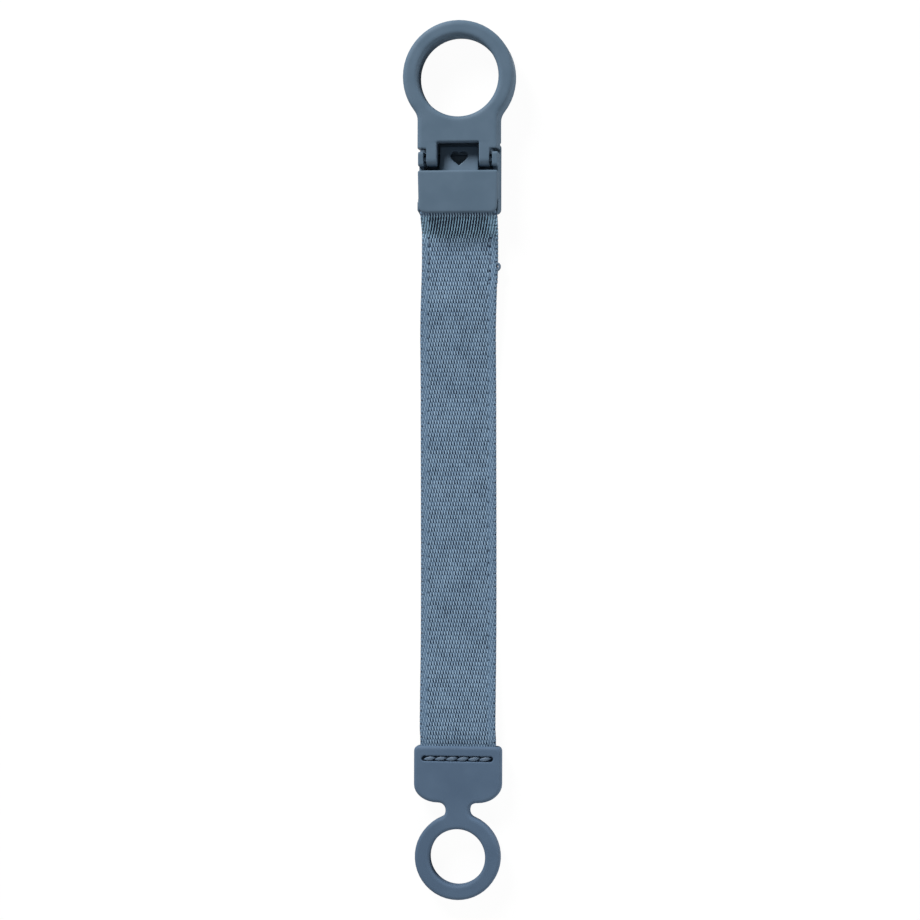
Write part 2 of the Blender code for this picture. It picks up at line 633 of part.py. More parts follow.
def lower_seam(face, label, material, pivot, parent):
    """One thread of the seam across the tab: slanted stitches in a groove, dipping at each slot."""
    top = LOOP_THICKNESS / 2 - GROOVE_DEPTH + STITCH_RADIUS + STITCH_GAP
    turn = STITCH_RADIUS
    places = stitch_places()
    path = []
    for x, next_x in zip(places, places[1:]):
        low_y, high_y = STITCH_Y - STITCH_SLANT, STITCH_Y + STITCH_SLANT
        path += [(x, low_y, STITCH_DIP), (x, low_y, top - turn), (x + turn, low_y, top)]
        path += [(next_x - turn, high_y, top), (next_x, high_y, top - turn), (next_x, high_y, STITCH_DIP)]
    path = [(x, y, TAB_MIDDLE_Z + face * z) for x, y, z in path]
    return thread(f"lower_seam_{label}", path, STITCH_RADIUS, material, pivot, parent)


def loop_outline():
    """Tab, neck and ring of the silicone loop from the front."""
    half = TAB_WIDTH / 2
    neck = LOOP_NECK_WIDTH / 2
    radius = LOOP_DIAMETER / 2
    fillet = LOOP_NECK_FILLET
    fillet_x = neck + fillet
    fillet_y = LOOP_Y + math.sqrt((radius + fillet) ** 2 - fillet_x**2)
    lean = math.degrees(math.atan2(fillet_y - LOOP_Y, fillet_x))
    right = arc((0.0, LOOP_Y), radius, -90, lean, CIRCLE_STEPS // 3)
    right += arc((fillet_x, fillet_y), fillet, 180 + lean, 180, 5)[1:]
    right += arc((fillet_x, TAB_BOTTOM_Y - fillet), fillet, 180, 90, 5)
    for x, y in arc((0.0, 0.0), 1.0, -90, 0, 8):
        across = half - TAB_BOTTOM_SWEEP * (1 - x)
        right.append((across, TAB_BOTTOM_Y + TAB_BOTTOM_RISE * (1 + y)))
    corner = TAB_TOP_CORNER
    right += arc((half - corner, TAB_TOP_Y - corner), corner, 0, 90, 5)
    return right + [(-x, y) for x, y in reversed(right[1:])]


def silicone_loop(material, pivot, parent):
    """One soft moulding with a pocket for the ribbon, a stitch groove on each face and a round eye."""
    bm = prism(loop_outline(), 0.0, LOOP_THICKNESS)
    round_rims(bm, 0.0, LOOP_THICKNESS, LOOP_ROUNDING, 3)
    ob = add_object("silicone_loop", bm, material, pivot, parent)
    eye = bore_cutter(LOOP_BORE / 2, LOOP_ROUNDING, LOOP_THICKNESS)
    combine(ob, turned(eye, (0.0, LOOP_Y), CIRCLE_STEPS), "DIFFERENCE", "eye")
    half = RIBBON_WIDTH / 2 + POCKET_CLEARANCE
    rise = RIBBON_THICKNESS / 2 + POCKET_CLEARANCE
    mouth = TAB_TOP_Y + CUT_MARGIN
    pocket = [(-half, POCKET_FLOOR_Y), (half, POCKET_FLOOR_Y), (half, mouth), (-half, mouth)]
    combine(ob, prism(pocket, TAB_MIDDLE_Z - rise, TAB_MIDDLE_Z + rise), "DIFFERENCE", "pocket")
    low, high = STITCH_Y - GROOVE_HEIGHT / 2, STITCH_Y + GROOVE_HEIGHT / 2
    end = GROOVE_HEIGHT / 2 - MM / 100
    groove = rounded_box(GROOVE_LENGTH / 2, low, high, end, end)
    front = prism(groove, LOOP_THICKNESS - GROOVE_DEPTH, LOOP_THICKNESS + CUT_MARGIN)
    combine(ob, front, "DIFFERENCE", "front_groove")
    combine(ob, prism(groove, -CUT_MARGIN, GROOVE_DEPTH), "DIFFERENCE", "back_groove")
    combine(ob, stitch_slots(-CUT_MARGIN, LOOP_THICKNESS + CUT_MARGIN), "DIFFERENCE", "stitch_slots")
    return ob


def build():
    """Clears the scene and makes every piece."""
    for ob in list(bpy.data.objects):
        bpy.data.objects.remove(ob)
    plastic = surface("moulded_plastic", PLASTIC, 0.42)
    webbing = surface("woven_webbing", WEBBING, 0.85)
    silicone = surface("soft_silicone", SILICONE, 0.55)
    sewing = surface("sewing_thread", THREAD, 0.75)

    hinge = axis_empty("hinge_axis", HINGE_Y, HINGE_Z)
    bar = axis_empty("bar_axis", BAR_Y, BAR_Z)
    clip_back(plastic)
    front_plate(plastic)
    ring_lever(plastic, hinge.location, hinge)
    ribbon(webbing, bar.location, bar)
    silicone_loop(silicone, bar.location, bar)
    for side, label in ((-1, "left"), (1, "right")):
        hinge_pin(side, label, plastic)
        upper_seam(side, label, sewing, bar.location, bar)
    for face, label in ((1, "front"), (-1, "back")):
        lower_seam(face, label, sewing, bar.location, bar)


build()
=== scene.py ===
# %% [markdown]
# # A soother holder clip
#
# This is the holder that keeps a soother off the ground: a plastic garment clip with a ring to pull
# it open by, a woven strap, and a silicone loop for the soother's handle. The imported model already
# has every piece at its real size and in its real place. This lesson gives the pieces their looks
# and leaves their places alone.

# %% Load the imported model
import json
import math
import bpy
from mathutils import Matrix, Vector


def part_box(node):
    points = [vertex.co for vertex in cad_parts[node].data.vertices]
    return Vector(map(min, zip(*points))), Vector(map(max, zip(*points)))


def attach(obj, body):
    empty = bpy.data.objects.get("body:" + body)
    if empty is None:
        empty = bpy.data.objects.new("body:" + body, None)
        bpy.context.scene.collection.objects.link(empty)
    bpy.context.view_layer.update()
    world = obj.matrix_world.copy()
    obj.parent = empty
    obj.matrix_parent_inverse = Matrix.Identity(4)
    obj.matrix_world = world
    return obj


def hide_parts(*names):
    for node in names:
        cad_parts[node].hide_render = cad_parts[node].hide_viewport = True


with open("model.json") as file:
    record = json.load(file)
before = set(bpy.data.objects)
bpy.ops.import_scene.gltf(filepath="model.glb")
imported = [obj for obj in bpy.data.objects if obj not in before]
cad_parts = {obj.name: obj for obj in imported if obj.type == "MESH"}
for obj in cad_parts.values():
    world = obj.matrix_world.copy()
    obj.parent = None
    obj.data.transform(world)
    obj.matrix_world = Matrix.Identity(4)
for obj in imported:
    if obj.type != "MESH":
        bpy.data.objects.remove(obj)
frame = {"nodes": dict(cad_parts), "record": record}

from types import SimpleNamespace

import bpy
import numpy as np
from mathutils import Matrix, Vector

MM = 0.001
FULL_TURN = 2 * math.pi
RIGHTWARD = Vector((1, 0, 0))
RINGWARD = Vector((0, 1, 0))
UPWARD = Vector((0, 0, 1))
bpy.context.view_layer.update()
print("pieces in the frame:", ", ".join(sorted(frame["nodes"])))

# %% [markdown]
# ## The camera
#
# The clip was photographed from straight above by a long lens that stood a little to the right, so
# the right walls of the clip show as thin strips. A shifted lens could do the same, but a camera
# that is simply moved and turned behaves better in other views. The lens follows from how much of
# the table the picture takes in, and a very slight roll sets the strap as upright as it lay.

# %% Camera
PICTURE_SPAN = 229.0 * MM
PICTURE_MIDDLE = (0.86 * MM, 0.23 * MM)
CAMERA_HEIGHT = 680.0 * MM
CAMERA_RIGHT = 80.0 * MM
CAMERA_ROLL = 0.0032
CAMERA_NEAREST = 10.0 * MM


def looking(place, target):
    """The matrix of a camera or lamp at place that looks at target, with +Y up in its picture."""
    back = (place - target).normalized()
    right = RINGWARD.cross(back).normalized()
    turn = Matrix((right, back.cross(right), back)).transposed().to_4x4()
    return Matrix.Translation(place) @ turn


aim = Vector((*PICTURE_MIDDLE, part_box("front_plate")[1].z))
viewpoint = Vector((CAMERA_RIGHT, aim.y, CAMERA_HEIGHT))
camera = bpy.data.objects.new("camera", bpy.data.cameras.new("camera"))
camera.data.lens = camera.data.sensor_width * (viewpoint - aim).length / PICTURE_SPAN
camera.data.clip_start = CAMERA_NEAREST
camera.matrix_world = looking(viewpoint, aim) @ Matrix.Rotation(CAMERA_ROLL, 4, "Z")
bpy.context.scene.collection.objects.link(camera)
bpy.context.scene.camera = camera
bpy.context.scene.view_settings.view_transform = "Standard"
print(f"lens {camera.data.lens:.1f} mm")

# %% [markdown]
# ## Wires: node maths that reads like Python
#
# A procedural finish is a sum of many small nodes. Placing each node by hand hides the idea, so a
# socket is wrapped in a class with the usual operators: `1 - mask * 0.5` then adds the Math nodes
# by itself. Every other node comes from one method that takes its type, its settings, and what
# goes into its sockets.


# %% Class: a wire
def fill(tree, node, sockets):
    """Gives each named socket of a node its value or its link."""
    for key, value in sockets.items():
        if isinstance(value, Wire):
            tree.links.new(value.socket, node.inputs[key])
        else:
            node.inputs[key].default_value = value


class Wire:
    """An output socket that takes part in sums as a number does."""

    def __init__(self, tree, socket=None):
        self.tree = tree
        self.socket = socket

    def node(self, kind, settings=None, sockets=None, out=0):
        """Adds a node, and returns the wire from one of its outputs."""
        made = self.tree.nodes.new(kind)
        for name, value in (settings or {}).items():
            setattr(made, name, value)
        fill(self.tree, made, sockets or {})
        return Wire(self.tree, made.outputs[out])

    def maths(self, operation, *values):
        """Adds a Math node."""
        return self.node("ShaderNodeMath", {"operation": operation}, dict(enumerate(values)))

    def __add__(self, other):
        return self.maths("ADD", self, other)

    def __sub__(self, other):
        return self.maths("SUBTRACT", self, other)

    def __rsub__(self, other):
        return self.maths("SUBTRACT", other, self)

    def __mul__(self, other):
        return self.maths("MULTIPLY", self, other)

    def __truediv__(self, other):
        return self.maths("DIVIDE", self, other)

    def __pow__(self, other):
        return self.maths("POWER", self, other)

    def __abs__(self):
        return self.maths("ABSOLUTE", self)

    __radd__ = __add__
    __rmul__ = __mul__


print("class Wire ready")

# %% Functions on wires
NOISE_MIDDLE = 0.5
NOISE_RANGE = (0.3, 0.7)
SOFT_DETAIL = 2.0
FINE_DETAIL = 3.0


def cosine(value):
    """The cosine of a wire, an array or a number."""
    return value.maths("COSINE", value) if isinstance(value, Wire) else np.cos(value)


def whole(value):
    """The whole part of a wire, an array or a number."""
    return value.maths("FLOOR", value) if isinstance(value, Wire) else np.floor(value)


def at_most_one(wire):
    """The wire, held down to 1 where it is more."""
    return wire.maths("MINIMUM", wire, 1.0)


def step_up(wire, low, high):
    """0 where the wire is below low, 1 above high, and a soft ramp between."""
    ramp = {"Value": wire, "From Min": low, "From Max": high}
    return wire.node("ShaderNodeMapRange", {"interpolation_type": "SMOOTHSTEP"}, ramp)


def between(share, first, second):
    """A colour that goes from first to second as share goes from 0 to 1."""
    ends = [value if isinstance(value, Wire) else (*value, 1.0) for value in (first, second)]
    # Sockets 6 and 7 of a Mix node are its two colours, and output 2 is the mixed one.
    sockets = {0: share, 6: ends[0], 7: ends[1]}
    return share.node("ShaderNodeMix", {"data_type": "RGBA"}, sockets, out=2)


def noise(spot, scale, detail=SOFT_DETAIL):
    """Cloudy noise round its middle of 0.5, with scale clouds to a unit."""
    sockets = {"Vector": spot, "Scale": scale, "Detail": detail}
    return spot.node("ShaderNodeTexNoise", {}, sockets)


def sway(cloud, width):
    """Noise moved to lie round 0, and made width times as strong."""
    return (cloud - NOISE_MIDDLE) * width


def bumped(height, depth):
    """A normal for a surface whose height goes from 0 to 1 over depth."""
    sockets = {"Height": height, "Distance": depth, "Strength": 1.0}
    return height.node("ShaderNodeBump", {}, sockets)


print("functions on wires ready")

# %% [markdown]
# ## Light and floor
#
# A soft panel stands beyond the ring, a little to the left, so that every rim throws its shadow
# down the picture. A weaker one beyond the loop reaches the slope of the strap below the clip, and
# a long low card brightens the walls on the right. A dim even sky fills the rest. One picture of a
# studio could light it all, but lamps can each be set for one job. Together they light a level
# surface to about 1, so a colour renders about as it is written. The white of the picture doesn't
# come from more light: the sky and the floor answer a camera ray with plain white. Gloss sees the
# floor as lit white paper, and the rays that carry light get a quieter tone. The floor still holds
# a faint shadow, because part of its white is lit paint.

# %% Lamps
PANEL_PLACE = Vector((-0.42, 0.72, 0.44))
PANEL_SIZE = (0.34, 0.34)
PANEL_SHARE = 0.66
FOOT_PLACE = Vector((0.05, -0.80, 0.45))
FOOT_SIZE = (0.40, 0.40)
FOOT_SHARE = 0.17
CARD_PLACE = Vector((0.90, 0.15, 0.06))
CARD_SIZE = (0.12, 1.00)
CARD_SHARE = 0.72


def soft_lamp(name, place, size, share, facing):
    """A soft lamp that lights a white surface, turned the given way, to share of full white."""
    lamp = bpy.data.objects.new(name, bpy.data.lights.new(name, "AREA"))
    lamp.data.shape = "RECTANGLE"
    lamp.data.size, lamp.data.size_y = size
    # P watts light a white surface that faces the lamp, d metres away, to P / (pi * d) ** 2.
    slant = place.normalized().dot(facing)
    lamp.data.energy = share * math.pi**2 * place.length_squared / slant
    lamp.matrix_world = looking(place, Vector((0, 0, 0)))
    bpy.context.scene.collection.objects.link(lamp)
    print(f"{name}: {lamp.data.energy:.2f} W at {place.length:.2f} m")


soft_lamp("soft_panel", PANEL_PLACE, PANEL_SIZE, PANEL_SHARE, UPWARD)
soft_lamp("foot_panel", FOOT_PLACE, FOOT_SIZE, FOOT_SHARE, UPWARD)
soft_lamp("low_card", CARD_PLACE, CARD_SIZE, CARD_SHARE, RIGHTWARD)

# %% Sky
SKY_SHARE = 0.13
WHITE = (1.0, 1.0, 1.0, 1.0)


def seen(start):
    """Two wires: 1 for a ray from the camera, and 1 for one off gloss or through glass."""
    kinds = ("Is Camera Ray", "Is Glossy Ray", "Is Transmission Ray")
    rays = [start.node("ShaderNodeLightPath", out=kind) for kind in kinds]
    return rays[0], at_most_one(rays[1] + rays[2])


world = bpy.data.worlds.new("sky")
world.use_nodes = True
bpy.context.scene.world = world
sky = Wire(world.node_tree)
by_eye, by_gloss = seen(sky)
tints = [{"Color": WHITE, "Strength": strength} for strength in (SKY_SHARE, 1.0)]
sky_light, sky_white = (sky.node("ShaderNodeBackground", sockets=tint) for tint in tints)
shown_white = at_most_one(by_eye + by_gloss)
sky_both = sky.node("ShaderNodeMixShader", sockets={0: shown_white, 1: sky_light, 2: sky_white})
fill(world.node_tree, world.node_tree.nodes["World Output"], {"Surface": sky_both})
print(f"sky gives {SKY_SHARE:.0%} of the light")

# %% Floor
FLOOR_SIZE = 4.0
FLOOR_BELOW = 0.05 * MM
FLOOR_BOUNCE = (0.22, 0.22, 0.22)
FLOOR_PAPER = (0.90, 0.90, 0.90)
FLOOR_GLOW = 0.96
FLOOR_PAINT = (0.055, 0.055, 0.055)


def floor_finish():
    """A quiet bounce for the light, lit paper for gloss, white with a faint shadow for the eye."""
    material = bpy.data.materials.new("white_paper")
    material.use_nodes = True
    start = Wire(material.node_tree)
    by_eye, by_gloss = seen(start)
    tones = [{"Color": (*tone, 1.0)} for tone in (FLOOR_BOUNCE, FLOOR_PAPER, FLOOR_PAINT)]
    bounce, paper, paint = (start.node("ShaderNodeBsdfDiffuse", sockets=tone) for tone in tones)
    glow = start.node("ShaderNodeEmission", sockets={"Color": WHITE, "Strength": FLOOR_GLOW})
    white = start.node("ShaderNodeAddShader", sockets={0: paint, 1: glow})
    unseen = start.node("ShaderNodeMixShader", sockets={0: by_gloss, 1: bounce, 2: paper})
    surface = start.node("ShaderNodeMixShader", sockets={0: by_eye, 1: unseen, 2: white})
    output = material.node_tree.nodes["Material Output"]
    fill(material.node_tree, output, {"Surface": surface})
    return material


floor_half = FLOOR_SIZE / 2
floor_signs = ((-1, -1), (1, -1), (1, 1), (-1, 1))
floor_corners = [(x * floor_half, y * floor_half, -FLOOR_BELOW) for x, y in floor_signs]
floor_mesh = bpy.data.meshes.new("floor")
floor_mesh.from_pydata(floor_corners, [], [(0, 1, 2, 3)])
floor_mesh.materials.append(floor_finish())
floor = bpy.data.objects.new("floor", floor_mesh)
bpy.context.scene.collection.objects.link(floor)
print(f"floor laid, {FLOOR_SIZE} m wide")

# %% [markdown]
# ## Satin plastic
#
# The clip is moulded in one grey blue plastic. Its skin is a satin: the mould was spark-eroded,
# which leaves a very fine grain, and the pigment drifts by a few percent. A picture texture could
# hold this, but noise in the piece's own coordinates needs no unwrapping and stays sharp at any
# distance.

# %% Finish: satin plastic
PLASTIC_DEEP = (0.085, 0.132, 0.184)
PLASTIC_PALE = (0.097, 0.147, 0.203)
PLASTIC_ROUGH = 0.52
PLASTIC_SPECULAR = 0.12
PLASTIC_CLOUDS = 160.0
PLASTIC_CLOUD_SWAY = 0.10
PLASTIC_GRAINS = 5200.0
PLASTIC_GRAIN_SWAY = 0.16
PLASTIC_GRAIN_DEPTH = 0.006 * MM


def new_finish(name):
    """A new material with its shader, and the wire that its nodes start from."""
    material = bpy.data.materials.new(name)
    material.use_nodes = True
    return material, Wire(material.node_tree)


def dress(material, sockets):
    """Sets or links sockets of a material's own shader."""
    fill(material.node_tree, material.node_tree.nodes["Principled BSDF"], sockets)
    print(f"finish {material.name}: {len(material.node_tree.nodes)} nodes")
    return material


def plastic_finish():
    """Moulded plastic with a fine eroded grain."""
    material, start = new_finish("satin_plastic")
    spot = start.node("ShaderNodeTexCoord", out="Object")
    cloud = noise(spot, PLASTIC_CLOUDS)
    grain = noise(spot, PLASTIC_GRAINS)
    rough = PLASTIC_ROUGH + sway(grain, PLASTIC_GRAIN_SWAY) + sway(cloud, PLASTIC_CLOUD_SWAY)
    sockets = {"Base Color": between(step_up(cloud, *NOISE_RANGE), PLASTIC_DEEP, PLASTIC_PALE)}
    sockets["Roughness"] = rough
    sockets["Normal"] = bumped(grain, PLASTIC_GRAIN_DEPTH)
    sockets["Specular IOR Level"] = PLASTIC_SPECULAR
    return dress(material, sockets)


plastic = plastic_finish()

# %% [markdown]
# ## Moulded edges
#
# No mould leaves a knife edge: every corner of the real clip is rounded by a quarter of a
# millimetre or so, and those rounds catch the light as thin bright lines. A Bevel modifier is the
# usual way, but these solids were cut by many booleans, and a bevel trips over the slivers that
# they leave. A copy that is remeshed into small even voxels and then relaxed has every edge rounded
# alike, and its flat faces stay flat.

# %% Functions: a moulded copy of a solid, in its place
EDGE_RELAX = 0.5
behaviour = frame["record"]["behaviour"]


def body_of(node):
    """The moving body that holds a node."""
    return next(body for body, nodes in behaviour["bodies"].items() if node in nodes)


def settle(piece, slot, *nodes):
    """Puts a finished piece in the place of its nodes, on the body that carries them."""
    bpy.context.scene.collection.objects.link(piece)
    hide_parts(*nodes)
    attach(piece, body_of(nodes[0]))


def evaluated_faces(piece):
    """How many faces a piece has after its modifiers."""
    result = piece.evaluated_get(bpy.context.evaluated_depsgraph_get())
    return len(result.data.polygons)


def moulded(node, slot, finish, voxel, passes):
    """A copy of a solid with its edges rounded as a mould leaves them."""
    piece = bpy.data.objects.new(f"moulded_{node}", frame["nodes"][node].data.copy())
    skin = piece.modifiers.new("even_skin", "REMESH")
    skin.mode = "VOXEL"
    skin.voxel_size = voxel
    skin.use_smooth_shade = True
    relax = piece.modifiers.new("rounded_edges", "SMOOTH")
    relax.factor = EDGE_RELAX
    relax.iterations = passes
    piece.data.materials.clear()
    piece.data.materials.append(finish)
    settle(piece, slot, node)
    print(f"{piece.name}: {evaluated_faces(piece)} faces")
    return piece


# %% [markdown]
# ## The plastic pieces
#
# Ring, neck and hinge legs are one moulding, the lever. The back of the clip carries the hinge ears
# and the bar for the strap, and the front plate with its pierced tongue closes it. Two small pins
# join lever and back. Real jaws touch where the solids keep a narrow gap, so the lip of the back's
# copy is drawn up to the lever.

# %% Plastic pieces
PLASTIC_VOXEL = 0.17 * MM
PLASTIC_PASSES = 5
PIN_VOXEL = 0.12 * MM
PIN_PASSES = 3
JAW_CLOSING = 0.26 * MM
JAW_LIP = 0.02 * MM

mouldings = {}
for node in ("ring_lever", "clip_back", "front_plate"):
    mouldings[node] = moulded(node, "plastic", plastic, PLASTIC_VOXEL, PLASTIC_PASSES)
for node in ("hinge_pin_left", "hinge_pin_right"):
    mouldings[node] = moulded(node, "plastic", plastic, PIN_VOXEL, PIN_PASSES)

jaw_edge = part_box("clip_back")[1].y
for vertex in mouldings["clip_back"].data.vertices:
    if vertex.co.y > jaw_edge - JAW_LIP:
        vertex.co.y += JAW_CLOSING

# %% [markdown]
# ## Silicone
#
# The loop is soft silicone: darker and duller than the plastic, with a dry, slightly cloudy skin.
# Light that sinks in and spreads would suit a clear silicone, but this one is so full of pigment
# that a plain matt skin is enough. Its solid is already well rounded, so its copy is relaxed for a
# shorter time.

# %% Finish: silicone
SILICONE_DEEP = (0.079, 0.126, 0.195)
SILICONE_PALE = (0.091, 0.143, 0.217)
SILICONE_ROUGH = 0.62
SILICONE_SPECULAR = 0.14
SILICONE_CLOUDS = 120.0
SILICONE_PORES = 3800.0
SILICONE_PORE_SWAY = 0.20
SILICONE_PORE_DEPTH = 0.006 * MM
SILICONE_VOXEL = 0.19 * MM
SILICONE_PASSES = 4


def silicone_finish():
    """Dry matt silicone with a cloudy skin."""
    material, start = new_finish("matt_silicone")
    spot = start.node("ShaderNodeTexCoord", out="Object")
    cloud = noise(spot, SILICONE_CLOUDS)
    pores = noise(spot, SILICONE_PORES, FINE_DETAIL)
    sockets = {"Base Color": between(step_up(cloud, *NOISE_RANGE), SILICONE_DEEP, SILICONE_PALE)}
    sockets["Roughness"] = SILICONE_ROUGH + sway(pores, SILICONE_PORE_SWAY)
    sockets["Normal"] = bumped(pores, SILICONE_PORE_DEPTH)
    sockets["Specular IOR Level"] = SILICONE_SPECULAR
    return dress(material, sockets)


moulded("silicone_loop", "silicone", silicone_finish(), SILICONE_VOXEL, SILICONE_PASSES)

# %% [markdown]
# ## The route of the webbing
#
# One length of webbing starts behind the clip as a sewn tail, runs up and round the bar, comes down
# over its own tail, drops to the table, and ends in the pocket of the silicone tab. The route
# repeats the one that the solid ribbon follows, with finer steps. A curve object could follow it
# too, but plain points can be cut into even stations, three to each row of the weave, so that the
# rows are counted along the cloth and not along the table.

# %% Route
ribbon_low, ribbon_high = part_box("ribbon")
swing = next(joint for joint in behaviour["joints"] if joint["name"] == "strap_swing")
RIBBON_WIDTH = ribbon_high.x - ribbon_low.x
RIBBON_THICKNESS = 1.05 * MM
TAIL_MIDDLE = 1.075 * MM
SEWN_MIDDLE = 2.275 * MM
LAID_MIDDLE = RIBBON_THICKNESS / 2
POCKET_MIDDLE = 2.2 * MM
BAR_CENTRE = (swing["pos_m"][1], swing["pos_m"][2])
TURN_RADIUS = 1.525 * MM
TAIL_END = 44.5 * MM
SEWN_TOP = 56.5 * MM
SEWN_BOTTOM = 44.2 * MM
LAID_TOP = 14.2 * MM
LAID_BOTTOM = -41.15 * MM
TAB_TOP = -71.15 * MM
ROUTE_STEPS = 40


def smooth_share(value, low, high):
    """0 below low, 1 above high, and a soft ramp between, for arrays."""
    share = np.clip((value - low) / (high - low), 0, 1)
    return share * share * (3 - 2 * share)


def eased(start, end):
    """Points on a smooth step from one level run to another."""
    share = np.linspace(0, 1, ROUTE_STEPS + 1)[1:, None]
    ahead = start[0] + (end[0] - start[0]) * share
    return list(np.hstack([ahead, start[1] + (end[1] - start[1]) * smooth_share(share, 0, 1)]))


def turn():
    """Points round the far side of the bar, from below it to above it."""
    angles = np.linspace(-math.pi / 2, math.pi / 2, ROUTE_STEPS + 1)[1:, None]
    return list(np.hstack([np.cos(angles), np.sin(angles)]) * TURN_RADIUS + BAR_CENTRE)


def ribbon_route():
    """The middle of the webbing from its tail to the pocket, as (Y, Z) points."""
    route = [(TAIL_END, TAIL_MIDDLE), (SEWN_TOP, TAIL_MIDDLE)]
    route += eased(route[-1], (BAR_CENTRE[0], BAR_CENTRE[1] - TURN_RADIUS))
    route += turn()
    route += eased(route[-1], (SEWN_TOP, SEWN_MIDDLE))
    route.append((SEWN_BOTTOM, SEWN_MIDDLE))
    route += eased(route[-1], (LAID_TOP, LAID_MIDDLE))
    route.append((LAID_BOTTOM, LAID_MIDDLE))
    route += eased(route[-1], (TAB_TOP, POCKET_MIDDLE))
    route.append((ribbon_low.y, POCKET_MIDDLE))
    return np.array(route)


route = ribbon_route()
print(f"route of {len(route)} points, webbing {RIBBON_WIDTH / MM:.1f} mm wide")

# %% Stations
ROW_PITCH = 1.085 * MM
STATIONS_PER_ROW = 3


def distances(path):
    """How far along a path each of its points is."""
    return np.concatenate([[0], np.cumsum(np.linalg.norm(np.diff(path, axis=0), axis=1))])


def directions(path):
    """The direction that a path runs in at each of its points."""
    run = np.gradient(path, axis=0)
    return run / np.linalg.norm(run, axis=1)[:, None]


def stations(path, pitch):
    """Even stations: how far from the pocket's end, where, and the way to the outer face."""
    marks = distances(path)
    walked = np.linspace(0, marks[-1], round(marks[-1] / pitch) + 1)
    spots = np.column_stack([np.interp(walked, marks, path[:, i]) for i in (0, 1)])
    run = directions(spots)
    outer = np.column_stack([run[:, 1], -run[:, 0]])
    return marks[-1] - walked, spots, outer


along, spots, outer = stations(route, ROW_PITCH / STATIONS_PER_ROW)
print(f"webbing {along[0] / MM:.1f} mm long, {len(along)} stations")

# %% [markdown]
# ## The weave
#
# Close to, the webbing is a field of small plump floats in rows, with dark gaps between them. Each
# row is stepped to the right of the one below, and within its row a float leans back to the left.
# At the foot of a row the floats dive under the weft, and its gaps are wide. At the top the gaps
# close. On the slope below the clip the bend pulls the yarns apart: the floats lean the other way
# there, and the rows run into each other. A binding thread leaves a line of dimples beside each
# edge. The weft nicks the edge itself, once in a row and harder in every third. A few formulas give
# all this. They take numpy arrays, for the relief of the mesh, and wires, for the colour, so both
# fall in the same place.

# %% Formulas of the weave
RIDGE_PITCH = 0.681 * MM
RIDGE_STEP = 0.218 * MM
RIDGE_SKEW = 0.14 * MM
OPEN_SKEW = -0.11 * MM
ROW_END = 0.16 * MM
ROW_END_POWER = 4
BINDER_X = 7.55 * MM
BINDER_PITCH = 3.05 * MM
BINDER_SIZE = 0.22 * MM
BINDER_LEAN = 0.10
BINDER_POWER = 14
NICK_LEAN = 0.06
NICK_LEAST = 0.45
NICK_ROWS = 3
NICK_POWER = 3
NICK_EDGE_POWER = 18


def wave(place, pitch):
    """A wave between 0 and 1, which is 1 at every whole pitch."""
    return 0.5 + 0.5 * cosine(place * (FULL_TURN / pitch))


def lanes(across, along, opened):
    """The row that a place is in, and how many gaps across it is, along the lean of the floats."""
    row = whole(along / ROW_PITCH)
    up = along / ROW_PITCH - row
    skew = RIDGE_SKEW + (OPEN_SKEW - RIDGE_SKEW) * opened
    return row, (across - RIDGE_STEP * row + skew * up) / RIDGE_PITCH


def closings(along):
    """1 at the top of every row, where its gaps close, and 0 away from it."""
    return wave(along + ROW_END, ROW_PITCH) ** ROW_END_POWER


def dives(along):
    """1 at the foot of every row, where its floats dive under the weft, and 0 away from it."""
    return wave(along - ROW_END, ROW_PITCH) ** ROW_END_POWER


def binder_dots(across, along):
    """1 in the dimples of the binding thread, one line beside each edge, and 0 elsewhere."""
    away = (abs(across) - BINDER_X) / BINDER_SIZE
    dots = wave(along + BINDER_LEAN * across, BINDER_PITCH) ** BINDER_POWER
    return dots * (1 + (away * away) ** 2) ** -1


def edge_nicks(across, along):
    """1 where the weft pulls the very edge in hardest, and 0 away from the edge."""
    outwards = abs(across) / (RIBBON_WIDTH / 2)
    place = along + NICK_LEAN * across
    pull = NICK_LEAST + (1 - NICK_LEAST) * wave(place, NICK_ROWS * ROW_PITCH)
    return wave(place, ROW_PITCH) ** NICK_POWER * pull * outwards**NICK_EDGE_POWER


print(f"{RIBBON_WIDTH / RIDGE_PITCH:.0f} gaps across, {along[0] / ROW_PITCH:.0f} rows along")

# %% [markdown]
# ## The webbing as a mesh
#
# Cloth simulation suits a hanging sheet, but a strap this narrow keeps its route, and what shows is
# its relief. So the mesh is laid directly: a closed loop of points round the section at every
# station, close together on the outer face and wider on the inner one. The relief, the nicked edges
# and the needle dimples are all moves of those points. Each point also remembers its place on the
# cloth, how far it is bent open there, and its share of a needle hole, which the finish reads.

# %% Bends and needle holes
OPEN_TOP = 61.1 * MM
OPEN_TOP_FADE = 0.5 * MM
OPEN_FADE_BELOW = 2.5 * MM
OPEN_FADE_ABOVE = 2.2 * MM
BOW = 0.45 * MM
BOW_TOP = 52 * MM
BOW_PEAK = 30 * MM
BOW_EASING = 0.55
BOW_END = 5 * MM
SEAM_X = 7.7 * MM
SEAM_START = 55.9 * MM
SEAM_PITCH = 2.1 * MM
SEAM_HOLES = 6
DIMPLE_SIZE = 0.42 * MM
on_front = np.arange(len(along)) > spots[:, 0].argmax()


def front_mark(y):
    """How far along the webbing a place on its front run is."""
    return float(np.interp(-y, -spots[on_front, 0], along[on_front]))


def bent_open(along):
    """1 on the slope below the clip, where the bend spreads the yarns, and 0 elsewhere."""
    top, foot = front_mark(OPEN_TOP), front_mark(SEWN_TOP)
    above_foot = smooth_share(along, foot - OPEN_FADE_BELOW, foot + OPEN_FADE_ABOVE)
    return above_foot * (1 - smooth_share(along, top, top + OPEN_TOP_FADE))


